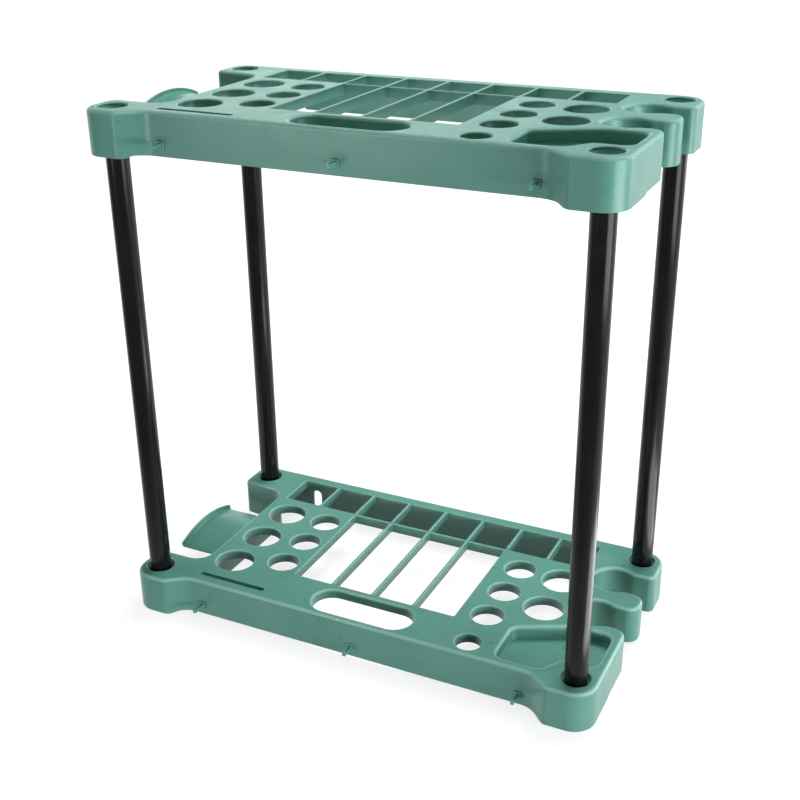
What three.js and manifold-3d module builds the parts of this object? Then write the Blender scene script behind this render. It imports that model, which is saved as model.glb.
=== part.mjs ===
// A freestanding garden tool rack: two moulded trays on four push-in tube posts, with plug-in hooks.
// Millimetres, +Z up, the front faces -Y. The origin is the centre of the footprint, on the floor.
// Both trays are the same moulding, drawn in a frame of its own: its middle is the centre of the
// four posts, and its feet stand at height zero.
import * as THREE from 'three';
import { mergeVertices } from 'three/addons/utils/BufferGeometryUtils.js';
import Module from 'manifold-3d';

const wasm = await Module();
wasm.setup();

// Main sizes
const trayLength = 578.5; // along X, between the flat sides
const trayDepth = 292; // along Y, from the flat front to the back
const trayPitch = 555.4; // from the deck of the lower tray to the deck of the upper one

// Posts
const postDiameter = 25;
const postWall = 1.2;
const seatGap = 0.3; // between a post's end and the stop it rests on

// Walls of the tray
const skirtHeight = 45.5;
const footDrop = 2.5; // how far the corner bosses stand below the skirt
const skirtWall = 2.8;
const deckThickness = 3;
const edgeRadius = 4; // round edge between the deck and the skirt
const ribThickness = 2.2;
const ribDepth = 12; // curbs, collars and ribs under the deck, measured from its top

// Outline of the tray, measured from the axes of the posts
const leftReach = 23;
const rightReach = 25.5;
const backReach = 23.9;
const frontReach = 12.5; // to the flat front between the bosses
const bossFrontReach = 30.2;
const creaseReach = 24.5; // along X, to the upright crease where a front boss turns in
const shoulderReach = 47; // along X, to where the flat front begins
const bayDepth = 65; // how far the left side is set back between the bosses
const bayFrontReach = 29.8;
const bayBackReach = 31.8;
const bayTaper = 4; // the rear boss narrows by this much on each side of that line
const backCornerRadius = 20;
const rearRightRadius = 27;
const bayLipRadius = 7;
const bayFilletRadius = 20;
const bossBackRadius = 14;
const bossFrontRadius = 26;
const creaseRadius = 9;
const shoulderRadius = 28;

// Two keyhole slots open to the right, for handles that are wider below than above
const keyholeRadius = 25.5;
const keyholeMouth = 39.5;
const keyholeLipRadius = 15;
const keyholeInset = 42.5; // from the right side to the centre of the round part
const keyholeY = -3.5; // centre of the front one
const keyholePitch = 75;
const keyholeCornerRadius = 8;
const prongRadius = 15;
const blockCornerRadius = 14;

// Round holes: a column is a row of equal holes along Y, as many as fit between its two ends
const largeHole = 46.6;
const smallHole = 37.6;
const smallestHole = 30;
const holeLand = 12; // least deck between two holes of a column
const leftOuterInset = 36; // from the side that is set back to the centres
const leftInnerInset = 25; // from the end of the long slots
const rightInnerInset = 32;
const rightOuterInset = 73.5; // from the right posts' axes
const leftOuterFrontInset = 58.3; // from the flat front to the first centre
const leftInnerFrontInset = 79.9;
const rightInnerFrontInset = 79.8;
const rightOuterFrontInset = 19; // from the pocket's back edge
const smallestFrontInset = 23.3;
const leftOuterBackInset = 37.2; // from the last centre to the back slots
const leftInnerBackInset = 35.6;
const rightInnerBackInset = 35.7;
const rightOuterBackInset = 38.7;

// Slot fields: each is a window with a curb round it and dividers across it
const dividerThickness = 3;
const slotCornerRadius = 2;
const backSlotCount = 8;
const backSlotLength = 53.8; // along Y
const backSlotBackInset = 16.7; // from the back of the tray
const backSlotInset = 53; // from the posts' axes, along X, to the ends of the field
const longSlotCount = 4;
const handSlotDivider = 8.1; // between the hand slot and the long slots
const fieldDivider = 3.2; // between the back slots and the long slots

// Hand slot, saw slit and tray pocket
const handSlotX = 3;
const handSlotInset = 30.7; // from the flat front to its middle
const handSlotLength = 126;
const handSlotWidth = 45;
const slitInset = 54; // from the left posts' axes
const slitLength = 91;
const slitFrontInset = 16.8;
const slitWidth = 3.6;
const pocketDepth = 15;
const pocketFloor = 2.6;
const pocketWall = 2.4;
const pocketInset = 11; // from the right side to the pocket's right edge
const pocketReach = 92.5; // from the right front post's axis to the pocket's left edge
const pocketFrontInset = 11.8; // from the flat front
const pocketBackWall = 10.5; // from the pocket to the round part of the front keyhole
const pocketSlopeReach = 29; // from that axis to where the slanting back edge meets the straight one
const pocketSlopeDepth = 31.5; // how far the slanting back edge falls forward
const pocketNotchReach = 23; // to the inner corner that goes round the front boss
const pocketNotchBack = 25.8; // from that axis back to the same corner, along Y
const pocketNotchFoot = 40; // from that axis to the front end of the slope up to this corner
const pocketCornerRadius = 11;
const pocketWideRadius = 26;

// Post sockets: a wide mouth, a snug bore and a ring that stops a post from above and from below
const socketMouth = 32;
const socketMouthDepth = 7;
const socketClearance = 0.3;
const socketWall = 2.2;
const socketDepth = 20; // below the stop ring
const stopThickness = 3;
const stopBore = 18;
const gussetReach = 34; // ribs that cross at each socket, from its axis
const gussetLift = 2.2; // from the skirt's lower edge up to these ribs

// Feet and openings low in the skirt
const footReachX = 25; // from a post's axis to where the skirt steps up, along X
const footReachY = 34;
const footSlope = 12;
const notchInset = 63; // from the posts' axes
const notchWidth = 13;
const notchHeight = 24.5; // above the skirt's lower edge

// Hose hanger on the left side: a lipped saddle bent over a flat arch
const hangerY = 4;
const hangerSpan = 112; // from one square end to the other
const hangerRadius = 140; // of the arch that the lip's top follows
const hangerLipDrop = 6.7; // from the deck down to the highest point of the lip
const hangerLipHeight = 5.7;
const hangerLipThickness = 2.6;
const hangerLipFillet = 4.4;
const hangerEdgeRadius = 1;
const hangerWall = 2.6;
const hangerOverhang = 2.5; // how far it stands out past the left side

// Hooks along the front
const hookX = 4;
const hookInset = 63; // from the posts' axes to the outer hooks, before hookX moves all three
const hookDrop = 32.6; // from the deck down to the middle of the stem
const hookWidth = 3.6;
const hookReach = 19;
const hookStem = 3.4;
const hookTipHeight = 5; // from the middle of the stem to the top of the tip
const hookTipThickness = 2.8;
const hookBendRadius = 2;
const hookShoulderWidth = 8.8;
const hookShoulderHeight = 8.4;
const hookShoulder = 1.6;
const hookClearance = 0.3;
const hookBarb = 1.2;
const hookBarbLength = 4;
const hookRoundRadius = 1.2;

// How finely round shapes are divided, and how far a cutter runs past what it cuts
const arcSag = 0.35; // most that a facet may fall short of its arc
const postSegments = 20;
const archSteps = 12;
const edgeSteps = 2;
const overrun = 1;

// Places worked out from the sizes above
const postX = ( trayLength - leftReach - rightReach ) / 2;
const postY = ( trayDepth - backReach - frontReach ) / 2;
const trayLeft = -postX - leftReach;
const trayRight = postX + rightReach;
const trayBack = postY + backReach;
const trayFront = -postY - frontReach;
const bossFront = -postY - bossFrontReach;
const bayWall = trayLeft + bayDepth;
const trayTop = footDrop + skirtHeight;
const ribBottom = trayTop - ribDepth;
const slotPitch = 2 * ( postX - backSlotInset ) / backSlotCount;
const longSlotEnd = longSlotCount * slotPitch / 2;
const handSlotY = trayFront + handSlotInset;
const backSlotBack = trayBack - backSlotBackInset;
const backSlotFront = backSlotBack - backSlotLength;
const longSlotFront = handSlotY + handSlotWidth / 2 + handSlotDivider;
const longSlotBack = backSlotFront - fieldDivider;
const pocketFront = trayFront + pocketFrontInset;
const pocketBack = keyholeY - keyholeRadius - pocketBackWall;
const leftOuterX = bayWall + leftOuterInset;
const leftInnerX = -longSlotEnd - leftInnerInset;
const rightInnerX = longSlotEnd + rightInnerInset;
const rightOuterX = postX - rightOuterInset;
const slitLeft = -postX + slitInset;
const slitY = trayFront + slitFrontInset;
const hookPitch = postX - hookInset;
const hookFront = trayFront - hookReach;
const depthShift = -( trayBack + hookFront ) / 2;

// Outlines

// How many straight steps a turn takes at a radius.
function stepsFor( radius, turn ) {

  const step = 2 * Math.acos( 1 - Math.min( arcSag / radius, 1 / 2 ) );
  return Math.max( 2, Math.ceil( Math.abs( turn ) / step ) );

}

// A closed outline through corners given as { x, y, radius }; a corner without a radius stays a point.
function filletedOutline( corners ) {

  const points = [];
  corners.forEach( ( corner, i ) => {

    const here = new THREE.Vector2( corner.x, corner.y );
    if ( ! corner.radius ) {

      points.push( here );
      return;

    }
    const before = corners[ ( i + corners.length - 1 ) % corners.length ];
    const after = corners[ ( i + 1 ) % corners.length ];
    const back = new THREE.Vector2( before.x, before.y ).sub( here ).normalize();
    const ahead = new THREE.Vector2( after.x, after.y ).sub( here ).normalize();
    const half = Math.acos( back.dot( ahead ) ) / 2;
    const middle = back.clone().add( ahead ).normalize();
    const centre = here.clone().addScaledVector( middle, corner.radius / Math.sin( half ) );
    const start = here.clone().addScaledVector( back, corner.radius / Math.tan( half ) );
    const turn = Math.PI - 2 * half;
    const side = Math.sign( ahead.cross( back ) );
    const steps = stepsFor( corner.radius, turn );
    for ( let k = 0; k <= steps; k ++ ) {

      points.push( start.clone().rotateAround( centre, side * turn * k / steps ) );

    }

  } );
  return points;

}

// Points of an arc about a centre, from one angle to another.
function arc( x, y, radius, from, to ) {

  const steps = stepsFor( radius, to - from );
  return Array.from( { length: steps + 1 }, ( _, k ) => {

    const angle = from + ( to - from ) * k / steps;
    return { x: x + radius * Math.cos( angle ), y: y + radius * Math.sin( angle ) };

  } );

}

// The same outline moved outwards by a distance, or inwards if it is negative.
function offsetOutline( points, distance ) {

  const normal = ( a, b ) => new THREE.Vector2( b.y - a.y, a.x - b.x ).normalize();
  return points.map( ( here, i ) => {

    const before = normal( points[ ( i + points.length - 1 ) % points.length ], here );
    const after = normal( here, points[ ( i + 1 ) % points.length ] );
    const middle = before.clone().add( after ).normalize();
    return here.clone().addScaledVector( middle, distance / middle.dot( after ) );

  } );

}

// The bite that a keyhole takes out of the right side, from its front lip round to its back lip.
function keyholeBite( y ) {

  const centreX = trayRight - keyholeInset;
  const lipY = keyholeMouth / 2 + keyholeLipRadius;
  const reach = keyholeRadius + keyholeLipRadius;
  const lipX = centreX + Math.sqrt( reach * reach - lipY * lipY );
  const lean = Math.atan2( lipY, lipX - centreX );
  return [
    ...arc( lipX, y - lipY, keyholeLipRadius, Math.PI / 2, Math.PI - lean ),
    ...arc( centreX, y, keyholeRadius, 2 * Math.PI - lean, lean ).slice( 1, - 1 ),
    ...arc( lipX, y + lipY, keyholeLipRadius, Math.PI + lean, 3 * Math.PI / 2 ),
  ];

}

// The tray seen from above, from the rear left corner round by the front.
function trayOutline() {

  const bayBack = postY - bayBackReach;
  const bayFront = -postY + bayFrontReach;
  const backKeyholeY = keyholeY + keyholePitch;
  return filletedOutline( [
    { x: trayLeft, y: trayBack, radius: backCornerRadius },
    { x: trayLeft, y: bayBack + bayTaper, radius: bayLipRadius },
    { x: bayWall, y: bayBack - bayTaper, radius: bayFilletRadius },
    { x: bayWall, y: bayFront, radius: bayFilletRadius },
    { x: trayLeft, y: bayFront, radius: bossBackRadius },
    { x: trayLeft, y: bossFront, radius: bossFrontRadius },
    { x: -postX + creaseReach, y: bossFront, radius: creaseRadius },
    { x: -postX + shoulderReach, y: trayFront, radius: shoulderRadius },
    { x: postX - shoulderReach, y: trayFront, radius: shoulderRadius },
    { x: postX - creaseReach, y: bossFront, radius: creaseRadius },
    { x: trayRight, y: bossFront, radius: bossFrontRadius },
    { x: trayRight, y: keyholeY - keyholeMouth / 2, radius: blockCornerRadius },
    ...keyholeBite( keyholeY ),
    { x: trayRight, y: keyholeY + keyholeMouth / 2, radius: prongRadius },
    { x: trayRight, y: backKeyholeY - keyholeMouth / 2, radius: prongRadius },
    ...keyholeBite( backKeyholeY ),
    { x: trayRight, y: backKeyholeY + keyholeMouth / 2, radius: keyholeCornerRadius },
    { x: trayRight, y: trayBack, radius: rearRightRadius },
  ] );

}

// The pocket at the right front, which goes round the boss of the post.
function pocketOutline() {

  const left = postX - pocketReach;
  const right = trayRight - pocketInset;
  const notchY = -postY + pocketNotchBack;
  return filletedOutline( [
    { x: left, y: pocketFront, radius: pocketCornerRadius },
    { x: postX - pocketNotchFoot, y: pocketFront, radius: pocketCornerRadius },
    { x: postX - pocketNotchReach, y: notchY, radius: pocketCornerRadius },
    { x: right, y: notchY, radius: pocketCornerRadius },
    { x: right, y: pocketBack, radius: pocketCornerRadius },
    { x: postX - pocketSlopeReach, y: pocketBack, radius: pocketWideRadius },
    { x: left, y: pocketBack - pocketSlopeDepth, radius: pocketCornerRadius },
  ] );

}

function holeOutline( { x, y, diameter }, margin = 0 ) {

  return arc( x, y, diameter / 2 + margin, 0, 2 * Math.PI ).slice( 0, - 1 );

}

function rectangleOutline( left, front, right, back, radius = 0 ) {

  return filletedOutline( [
    { x: left, y: front, radius },
    { x: right, y: front, radius },
    { x: right, y: back, radius },
    { x: left, y: back, radius },
  ] );

}

// Solids

// A closed three.js geometry as a solid that can be joined and cut.
function solidOf( geometry ) {

  const bare = geometry.clone();
  bare.deleteAttribute( 'normal' );
  bare.deleteAttribute( 'uv' );
  const merged = mergeVertices( bare );
  return new wasm.Manifold( new wasm.Mesh( {
    numProp: 3,
    vertProperties: new Float32Array( merged.attributes.position.array ),
    triVerts: new Uint32Array( merged.index.array ),
  } ) );

}

function geometryOf( solid ) {

  const { vertProperties, triVerts } = solid.getMesh();
  const geometry = new THREE.BufferGeometry();
  geometry.setAttribute( 'position', new THREE.BufferAttribute( vertProperties, 3 ) );
  geometry.setIndex( new THREE.BufferAttribute( triVerts, 1 ) );
  geometry.computeVertexNormals();
  return geometry;

}

function shapeOf( outline ) {

  return new THREE.Shape( outline.map( ( point ) => new THREE.Vector2( point.x, point.y ) ) );

}

// An outline drawn in the XY plane and run up along Z from zero.
function extruded( outline, depth, steps = 1 ) {

  return new THREE.ExtrudeGeometry( shapeOf( outline ), { depth, steps, bevelEnabled: false } );

}

function prism( outline, bottom, top ) {

  return solidOf( extruded( outline, top - bottom ).translate( 0, 0, bottom ) );

}

// A solid drawn in the YZ plane and as wide as stated along X, with its middle at x.
function crosswiseGeometry( outline, x, width ) {

  const geometry = extruded( outline, width ).rotateX( Math.PI / 2 ).rotateZ( Math.PI / 2 );
  return geometry.translate( x - width / 2, 0, 0 );

}

function revolved( profile, x, y ) {

  const points = profile.map( ( [ radius, height ] ) => new THREE.Vector2( radius, height ) );
  const geometry = new THREE.LatheGeometry( points, postSegments );
  return solidOf( geometry.rotateX( Math.PI / 2 ).translate( x, y, 0 ) );

}

const joined = ( solids ) => wasm.Manifold.union( solids );

// Parts of the tray

// Full-height block of the tray, with its upper edge rounded.
function trayBlock() {

  const geometry = new THREE.ExtrudeGeometry( shapeOf( trayOutline() ), {
    depth: trayTop - edgeRadius,
    bevelThickness: edgeRadius,
    bevelSize: edgeRadius,
    bevelOffset: - edgeRadius,
    bevelSegments: edgeSteps,
  } );
  const below = rectangleOutline(
    trayLeft - overrun, bossFront - overrun, trayRight + overrun, trayBack + overrun,
  );
  return solidOf( geometry ).subtract( prism( below, - edgeRadius - overrun, 0 ) );

}

// Wedge-ended bars that cut the skirt back, so that the tray stands on its corner bosses only.
function footRelief() {

  const bar = ( half, reach ) => [
    { x: - half + reach, y: - overrun },
    { x: half - reach, y: - overrun },
    { x: half - reach - footSlope, y: footDrop },
    { x: - half + reach + footSlope, y: footDrop },
  ];
  const width = trayRight - trayLeft + 2 * overrun;
  const alongY = extruded( bar( postX, footReachX ), width ).rotateX( Math.PI / 2 );
  return joined( [
    solidOf( alongY.translate( 0, width / 2, 0 ) ),
    solidOf( crosswiseGeometry( bar( postY, footReachY ), 0, width ) ),
  ] );

}

// Every round hole as { x, y, diameter }.
function roundHoles() {

  const column = ( x, first, last, diameter ) => {

    const gaps = Math.max( 0, Math.floor( ( last - first ) / ( diameter + holeLand ) ) );
    const pitch = gaps ? ( last - first ) / gaps : 0;
    return Array.from( { length: gaps + 1 }, ( _, k ) => ( { x, y: first + k * pitch, diameter } ) );

  };
  const fromFront = ( inset ) => trayFront + inset;
  const fromSlots = ( inset ) => backSlotFront - inset;
  return [
    ...column( leftOuterX, fromFront( leftOuterFrontInset ), fromSlots( leftOuterBackInset ), largeHole ),
    ...column( leftInnerX, fromFront( leftInnerFrontInset ), fromSlots( leftInnerBackInset ), smallHole ),
    ...column( rightInnerX, fromFront( rightInnerFrontInset ), fromSlots( rightInnerBackInset ), smallHole ),
    ...column( rightOuterX, pocketBack + rightOuterFrontInset, fromSlots( rightOuterBackInset ), largeHole ),
    { x: rightInnerX, y: fromFront( smallestFrontInset ), diameter: smallestHole },
  ];

}

// One field of slots about the middle of the tray: the block that carries it, and the slots to cut.
function slotField( count, front, back ) {

  const half = count * slotPitch / 2;
  const edge = half - dividerThickness / 2;
  const curb = rectangleOutline(
    - edge - ribThickness, front - ribThickness, edge + ribThickness, back + ribThickness,
  );
  const slots = Array.from( { length: count }, ( _, k ) => {

    const left = - half + k * slotPitch + dividerThickness / 2;
    const right = left + slotPitch - dividerThickness;
    return rectangleOutline( left, front, right, back, slotCornerRadius );

  } );
  return { curb, slots };

}

function handSlotOutline( margin = 0 ) {

  const halfLength = handSlotLength / 2 + margin;
  const halfWidth = handSlotWidth / 2 + margin;
  const straight = halfLength - halfWidth;
  return [
    ...arc( handSlotX + straight, handSlotY, halfWidth, - Math.PI / 2, Math.PI / 2 ),
    ...arc( handSlotX - straight, handSlotY, halfWidth, Math.PI / 2, 3 * Math.PI / 2 ),
  ];

}

// The four post places, as { x, y }.
const postPlaces = [
  { x: - postX, y: - postY },
  { x: - postX, y: postY },
  { x: postX, y: - postY },
  { x: postX, y: postY },
];

// The tube round a post's bore, and two ribs that cross at it.
function socketBody( { x, y } ) {

  const radius = socketMouth / 2 + socketWall;
  const top = trayTop - deckThickness / 2;
  const half = ribThickness / 2;
  const bottom = footDrop + gussetLift;
  return joined( [
    revolved( [ [ 0, 0 ], [ radius, 0 ], [ radius, top ], [ 0, top ] ], x, y ),
    prism( rectangleOutline( x - gussetReach, y - half, x + gussetReach, y + half ), bottom, top ),
    prism( rectangleOutline( x - half, y - gussetReach, x + half, y + gussetReach ), bottom, top ),
  ] );

}

// What is cut out of a socket: a bore from below, a bore and a wide mouth from above, and the stop's hole.
function socketBore( { x, y } ) {

  const radius = postDiameter / 2 + socketClearance;
  const stopTop = socketDepth + stopThickness;
  const past = trayTop + overrun;
  return revolved( [
    [ 0, - overrun ], [ radius, - overrun ], [ radius, socketDepth ], [ stopBore / 2, socketDepth ],
    [ stopBore / 2, stopTop ], [ radius, stopTop ], [ radius, trayTop - socketMouthDepth ],
    [ socketMouth / 2, trayTop - deckThickness ], [ socketMouth / 2, past ], [ 0, past ],
  ], x, y );

}

// The saddle's section, as x and height over its underside, is bent over an arch from back to front.
function hoseHanger() {

  const root = bayWall + skirtWall / 2;
  const outer = trayLeft - hangerOverhang;
  const lipTop = hangerWall + hangerLipHeight;
  const section = filletedOutline( [
    { x: outer, y: 0, radius: hangerEdgeRadius },
    { x: root, y: 0 },
    { x: root, y: hangerWall },
    { x: outer + hangerLipThickness, y: hangerWall, radius: hangerLipFillet },
    { x: outer + hangerLipThickness, y: lipTop, radius: hangerEdgeRadius },
    { x: outer, y: lipTop, radius: hangerEdgeRadius },
  ] );
  const geometry = extruded( section, hangerSpan, archSteps );
  const centreZ = trayTop - hangerLipDrop - hangerRadius;
  const lean = Math.asin( hangerSpan / 2 / hangerRadius );
  const places = geometry.attributes.position;
  for ( let i = 0; i < places.count; i ++ ) {

    const angle = lean * ( 1 - 2 * places.getZ( i ) / hangerSpan );
    const radius = hangerRadius - lipTop + places.getY( i );
    places.setY( i, hangerY + radius * Math.sin( angle ) );
    places.setZ( i, centreZ + radius * Math.cos( angle ) );

  }
  return solidOf( geometry );

}

// An arched notch in the back skirt, open at its lower edge.
function backNotch( x ) {

  const radius = notchWidth / 2;
  const spring = footDrop + notchHeight - radius;
  const outline = [
    { x: x + radius, y: - overrun },
    ...arc( x, spring, radius, 0, Math.PI ),
    { x: x - radius, y: - overrun },
  ];
  const geometry = extruded( outline, skirtWall + 2 * overrun ).rotateX( Math.PI / 2 );
  return solidOf( geometry.translate( 0, trayBack + overrun, 0 ) );

}

const hookPlaces = [ hookX - hookPitch, hookX, hookX + hookPitch ];

// The slot in the front skirt that a hook's shank goes through.
function hookSlot( x ) {

  const halfWidth = hookWidth / 2 + hookClearance;
  const middle = trayTop - hookDrop;
  const half = hookStem / 2 + hookClearance;
  const back = trayFront + skirtWall + overrun;
  const outline = rectangleOutline( x - halfWidth, trayFront - overrun, x + halfWidth, back );
  return prism( outline, middle - half, middle + half );

}

// Ribs under the deck: one between the two columns of holes on each side.
function deckRibs() {

  const front = trayFront + skirtWall / 2;
  const half = ribThickness / 2;
  const top = trayTop - deckThickness / 2;
  const leftMiddle = ( leftOuterX + largeHole / 2 + leftInnerX - smallHole / 2 ) / 2;
  const rightMiddle = ( rightInnerX + smallHole / 2 + rightOuterX - largeHole / 2 ) / 2;
  return [ leftMiddle, rightMiddle ].map( ( x ) =>
    prism( rectangleOutline( x - half, front, x + half, backSlotFront ), ribBottom, top ) );

}

function trayGeometry() {

  const block = trayBlock();
  const under = trayTop - deckThickness / 2;
  const past = trayTop + overrun;
  const cavity = prism( offsetOutline( trayOutline(), - skirtWall ), - overrun, trayTop - deckThickness );
  const fields = [
    slotField( backSlotCount, backSlotFront, backSlotBack ),
    slotField( longSlotCount, longSlotFront, longSlotBack ),
  ];
  const holes = roundHoles();
  const pocket = pocketOutline();
  const pocketBottom = trayTop - pocketDepth;
  const inside = joined( [
    ...postPlaces.map( socketBody ),
    ...fields.map( ( field ) => prism( field.curb, ribBottom, under ) ),
    ...holes.map( ( hole ) => prism( holeOutline( hole, ribThickness ), ribBottom, under ) ),
    prism( handSlotOutline( ribThickness ), ribBottom, under ),
    prism( offsetOutline( pocket, pocketWall ), pocketBottom - pocketFloor, under ),
    ...deckRibs(),
  ] ).intersect( block );
  const slit = rectangleOutline(
    slitLeft, slitY - slitWidth / 2, slitLeft + slitLength, slitY + slitWidth / 2,
  );
  const cuts = joined( [
    ...fields.flatMap( ( field ) => field.slots.map( ( slot ) => prism( slot, - overrun, past ) ) ),
    ...holes.map( ( hole ) => prism( holeOutline( hole ), - overrun, past ) ),
    prism( handSlotOutline(), - overrun, past ),
    prism( slit, - overrun, past ),
    prism( pocket, pocketBottom, past ),
    ...postPlaces.map( socketBore ),
    ...hookPlaces.map( hookSlot ),
    backNotch( - postX + notchInset ),
    backNotch( postX - notchInset ),
    footRelief(),
  ] );
  return geometryOf( block.subtract( cavity ).add( inside ).add( hoseHanger() ).subtract( cuts ) );

}

// Loose pieces

function postGeometry() {

  const outer = postDiameter / 2;
  const inner = outer - postWall;
  const bottom = socketDepth + stopThickness + seatGap;
  const top = trayPitch + socketDepth - seatGap;
  const profile = [ [ outer, bottom ], [ outer, top ], [ inner, top ], [ inner, bottom ], [ outer, bottom ] ];
  const points = profile.map( ( [ radius, height ] ) => new THREE.Vector2( radius, height ) );
  return new THREE.LatheGeometry( points, postSegments ).rotateX( Math.PI / 2 );

}

// A hook is a flat J with a barbed shank, joined to a wider shoulder plate. Both sections are drawn as reach
// in front of the skirt and height from the stem's middle.
function hookGeometry() {

  const half = hookStem / 2;
  const shoulderBack = - hookClearance;
  const shoulderFront = shoulderBack - hookShoulder;
  const tip = - hookReach;
  const tipBack = tip + hookTipThickness;
  const inside = skirtWall + hookClearance;
  const end = inside + hookBarbLength;
  const section = filletedOutline( [
    { x: end, y: half },
    { x: tipBack, y: half, radius: hookBendRadius },
    { x: tipBack, y: hookTipHeight, radius: hookRoundRadius },
    { x: tip, y: hookTipHeight, radius: hookRoundRadius },
    { x: tip, y: - half, radius: hookBendRadius },
    { x: inside, y: - half },
    { x: inside, y: - half - hookBarb },
    { x: end, y: 0 },
  ] );
  const plate = filletedOutline( [
    { x: shoulderBack, y: hookShoulderHeight / 2 },
    { x: shoulderFront, y: hookShoulderHeight / 2, radius: hookRoundRadius },
    { x: shoulderFront, y: - hookShoulderHeight / 2, radius: hookRoundRadius },
    { x: shoulderBack, y: - hookShoulderHeight / 2 },
  ] );
  return geometryOf( joined( [
    solidOf( crosswiseGeometry( section, 0, hookWidth ) ),
    solidOf( crosswiseGeometry( plate, 0, hookShoulderWidth ) ),
  ] ) );

}

// The rack

const moulding = new THREE.MeshStandardMaterial( {
  name: 'green polypropylene', color: 0x5f9487, roughness: 0.45, metalness: 0,
} );
const tubeCoat = new THREE.MeshStandardMaterial( {
  name: 'black coated steel', color: 0x1e1e20, roughness: 0.35, metalness: 0,
} );

function pieceOf( name, geometry, material ) {

  const piece = new THREE.Mesh( geometry, material.clone() );
  piece.name = name;
  return piece;

}

function trayWithHooks( level, geometry, height ) {

  const group = new THREE.Group();
  group.position.z = height;
  group.add( pieceOf( `${level}_tray`, geometry, moulding ) );
  const hook = hookGeometry();
  const sides = [ 'left', 'middle', 'right' ];
  hookPlaces.forEach( ( x, i ) => {

    const piece = pieceOf( `${level}_hook_${sides[ i ]}`, hook, moulding );
    piece.position.set( x, trayFront, trayTop - hookDrop );
    group.add( piece );

  } );
  return group;

}

const rack = new THREE.Group();
rack.position.y = depthShift;

const tray = trayGeometry();
rack.add( trayWithHooks( 'lower', tray, 0 ) );
rack.add( trayWithHooks( 'upper', tray, trayPitch ) );

const post = postGeometry();
for ( const { x, y } of postPlaces ) {

  const name = `post_${y < 0 ? 'front' : 'back'}_${x < 0 ? 'left' : 'right'}`;
  const piece = pieceOf( name, post, tubeCoat );
  piece.position.set( x, y, 0 );
  rack.add( piece );

}

export default rack;
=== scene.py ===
# Looks of a freestanding garden tool rack: two green moulded trays on four black tube posts.
# The pieces and the camera's place are given in millimetres, and become metres when they are made. The
# studio is given in metres.
import bmesh
import bpy
import numpy as np
from mathutils import Matrix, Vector
from mathutils.geometry import tessellate_polygon


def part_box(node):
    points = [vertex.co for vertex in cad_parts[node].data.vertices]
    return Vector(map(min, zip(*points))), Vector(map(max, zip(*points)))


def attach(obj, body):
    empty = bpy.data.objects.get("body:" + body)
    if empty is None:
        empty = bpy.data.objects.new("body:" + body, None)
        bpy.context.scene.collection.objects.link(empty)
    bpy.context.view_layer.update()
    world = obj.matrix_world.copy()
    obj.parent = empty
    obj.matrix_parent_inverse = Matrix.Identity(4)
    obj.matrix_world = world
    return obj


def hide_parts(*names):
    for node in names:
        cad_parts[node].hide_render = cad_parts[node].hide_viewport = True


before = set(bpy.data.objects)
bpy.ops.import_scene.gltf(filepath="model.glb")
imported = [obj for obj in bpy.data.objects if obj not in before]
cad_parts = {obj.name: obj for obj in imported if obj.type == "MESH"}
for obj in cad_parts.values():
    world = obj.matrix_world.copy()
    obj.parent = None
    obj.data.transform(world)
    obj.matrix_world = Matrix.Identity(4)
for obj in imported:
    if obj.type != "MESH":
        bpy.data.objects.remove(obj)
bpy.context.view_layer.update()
mm = 0.001
deckHeights = {level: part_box(level + "_tray")[1].z / mm for level in ("lower", "upper")}
print("frame loaded:", len(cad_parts), "nodes")


def addObject(name, data):
    made = bpy.data.objects.new(name, data)
    bpy.context.scene.collection.objects.link(made)
    return made


# Gives an object its place, and the directions of its own x, y and z.
def placeObject(placed, right, up, back, place):
    columns = np.column_stack([right, up, back, place])
    placed.matrix_world = Matrix([*columns.tolist(), [0, 0, 0, 1]])


# Camera

cameraSet = {
    "place": (557.2, -1134.8, 836.8),
    "azimuth": 26.0425,
    "elevation": 24.273,
    "roll": -0.6437,
    "lens": 54.41,
    "sensor": 36,
}


# The camera looks back along (sin a cos e, -cos a cos e, sin e), and is then rolled about that line.
def makeCamera(values):
    azimuth, elevation, roll = np.radians([values["azimuth"], values["elevation"], values["roll"]])
    level = np.array([np.sin(azimuth), -np.cos(azimuth), 0])
    back = level * np.cos(elevation) + np.array([0, 0, np.sin(elevation)])
    right = np.array([np.cos(azimuth), np.sin(azimuth), 0])
    up = np.cross(back, right)
    rolledRight = right * np.cos(roll) + up * np.sin(roll)
    rolledUp = up * np.cos(roll) - right * np.sin(roll)
    data = bpy.data.cameras.new("camera")
    data.lens = values["lens"]
    data.sensor_width = values["sensor"]
    camera = addObject("camera", data)
    placeObject(camera, rolledRight, rolledUp, back, np.array(values["place"]) * mm)
    bpy.context.scene.camera = camera


makeCamera(cameraSet)


# Materials

# An sRGB hex colour as linear values: a part is divided by 12.92 up to 0.04045, and above it is
# ((part + 0.055) / 1.055) to the power 2.4.
def linear(hexColour):
    parts = np.array([int(hexColour[i:i + 2], 16) for i in (1, 3, 5)]) / 255
    colour = np.where(parts <= 0.04045, parts / 12.92, ((parts + 0.055) / 1.055) ** 2.4)
    return (*colour.tolist(), 1.0)


# Adds a node: settings are its properties, and inputs are values or the sockets that feed it. An input goes
# by its name, or by its place where two share a name.
def addNode(tree, kind, settings=None, inputs=None):
    made = tree.nodes.new(kind)
    for name, value in (settings or {}).items():
        setattr(made, name, value)
    for name, value in (inputs or {}).items():
        if isinstance(value, bpy.types.NodeSocket):
            tree.links.new(value, made.inputs[name])
        else:
            made.inputs[name].default_value = value
    return made


def newMaterial(name):
    material = bpy.data.materials.new(name)
    material.use_nodes = True
    material.node_tree.nodes.clear()
    return material, material.node_tree


noiseSpan = (0.3, 0.7)  # nearly all of a noise pattern lies between these
fineShare = 0.55  # strength of each finer layer of a noise pattern


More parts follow.
